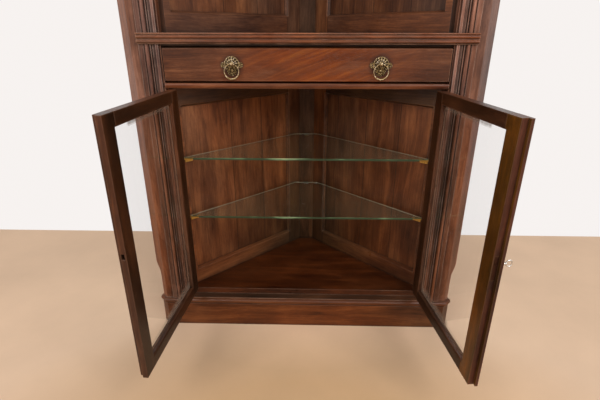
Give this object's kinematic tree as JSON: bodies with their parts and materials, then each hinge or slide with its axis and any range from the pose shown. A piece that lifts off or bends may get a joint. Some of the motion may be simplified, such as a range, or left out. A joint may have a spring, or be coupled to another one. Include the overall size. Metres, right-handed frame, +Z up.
{
  "type": "corner china cabinet",
  "caption": "Corner china cabinet: open panelled display section over a drawer with ring pulls and a cupboard with glass shelves behind framed glass doors.",
  "frame": {"origin": "on the floor at mid width, in the plane of the front frame", "axes": "+X to the right seen from the front, +Y from the front into the corner, +Z up"},
  "size_m": [1.0134, 0.7561, 2],
  "materials": {
    "front_mahogany": "satin shellac over reddish brown mahogany",
    "dark_mahogany": "satin, darker brown mahogany",
    "panel_mahogany": "satin reddish brown mahogany with long grain",
    "drawer_wood": "plain unpolished hardwood",
    "clear_glass": "clear, slightly green at the edges",
    "aged_brass": "aged, darker in the recesses",
    "lock_steel": "worn plated steel"
  },
  "bodies": {
    "cabinet": {"plinth": "front_mahogany", "base_moulding": "front_mahogany", "floor_board": "panel_mahogany", "sill_rail": "dark_mahogany", "waist_board": "front_mahogany", "waist_moulding": "front_mahogany", "waist_rail": "dark_mahogany", "drawer_rail": "front_mahogany", "dust_board": "drawer_wood", "corner_board": "dark_mahogany", "cornice": "front_mahogany", "top_board": "dark_mahogany", "lower_glass_shelf": "clear_glass", "upper_glass_shelf": "clear_glass", "lower_display_shelf": "front_mahogany", "upper_display_shelf": "front_mahogany", "lower_rear_clip": "aged_brass", "upper_rear_clip": "aged_brass", "left_stile": "front_mahogany", "left_pilaster": "front_mahogany", "left_wall_frame": "panel_mahogany", "left_wall_panel": "panel_mahogany", "left_lower_clip": "aged_brass", "left_upper_clip": "aged_brass", "left_lower_frame_hinge": "aged_brass", "left_upper_frame_hinge": "aged_brass", "right_stile": "front_mahogany", "right_pilaster": "front_mahogany", "right_wall_frame": "panel_mahogany", "right_wall_panel": "panel_mahogany", "right_lower_clip": "aged_brass", "right_upper_clip": "aged_brass", "right_lower_frame_hinge": "aged_brass", "right_upper_frame_hinge": "aged_brass"},
    "left_door": {"left_door_hinge_stile": "dark_mahogany", "left_door_free_stile": "dark_mahogany", "left_door_top_rail": "dark_mahogany", "left_door_bottom_rail": "dark_mahogany", "left_door_glass": "clear_glass", "left_lower_door_hinge": "aged_brass", "left_upper_door_hinge": "aged_brass"},
    "right_door": {"right_door_hinge_stile": "dark_mahogany", "right_door_free_stile": "dark_mahogany", "right_door_top_rail": "dark_mahogany", "right_door_bottom_rail": "dark_mahogany", "right_door_glass": "clear_glass", "right_lower_door_hinge": "aged_brass", "right_upper_door_hinge": "aged_brass", "lock_case": "lock_steel"},
    "bolt": {"lock_bolt": "lock_steel"},
    "key": {"key": "lock_steel"},
    "drawer": {"drawer_front": "front_mahogany", "drawer_back": "drawer_wood", "drawer_base": "drawer_wood", "left_drawer_side": "drawer_wood", "right_drawer_side": "drawer_wood", "left_pull_plate": "aged_brass", "right_pull_plate": "aged_brass"},
    "left_ring": {"left_pull_ring": "aged_brass"},
    "right_ring": {"right_pull_ring": "aged_brass"}
  },
  "joints": [
    {"name": "left_door_swing", "type": "hinge", "parent": "cabinet", "child": "left_door", "pos_m": [-0.363, -0.008, 0.4453], "axis": [0, 0, 1], "range_deg": [-16, 94]},
    {"name": "right_door_swing", "type": "hinge", "parent": "cabinet", "child": "right_door", "pos_m": [0.363, -0.008, 0.4453], "axis": [0, 0, 1], "range_deg": [-97, 13]},
    {"name": "drawer_slide", "type": "slide", "parent": "cabinet", "child": "drawer", "axis": [0, -1, 0], "range_m": [0, 0.2]},
    {"name": "left_ring_swing", "type": "hinge", "parent": "drawer", "child": "left_ring", "pos_m": [-0.1884, -0.0126, 0.813], "axis": [-1, 0, 0], "range_deg": [-8, 95]},
    {"name": "right_ring_swing", "type": "hinge", "parent": "drawer", "child": "right_ring", "pos_m": [0.1884, -0.0126, 0.813], "axis": [-1, 0, 0], "range_deg": [-8, 95]},
    {"name": "key_turn", "type": "hinge", "parent": "right_door", "child": "key", "pos_m": [0.38346, -0.35308, 0.447], "axis": [-0.9925, -0.1219, 0], "range_deg": [0, 180]},
    {"name": "bolt_slide", "type": "slide", "parent": "right_door", "child": "bolt", "axis": [0.1219, -0.9925, 0], "range_m": [0, 0.007]}
  ],
  "couplings": [
    {"joint": "bolt_slide", "follows": "key_turn", "m_per_rad": 0.002228}
  ]
}
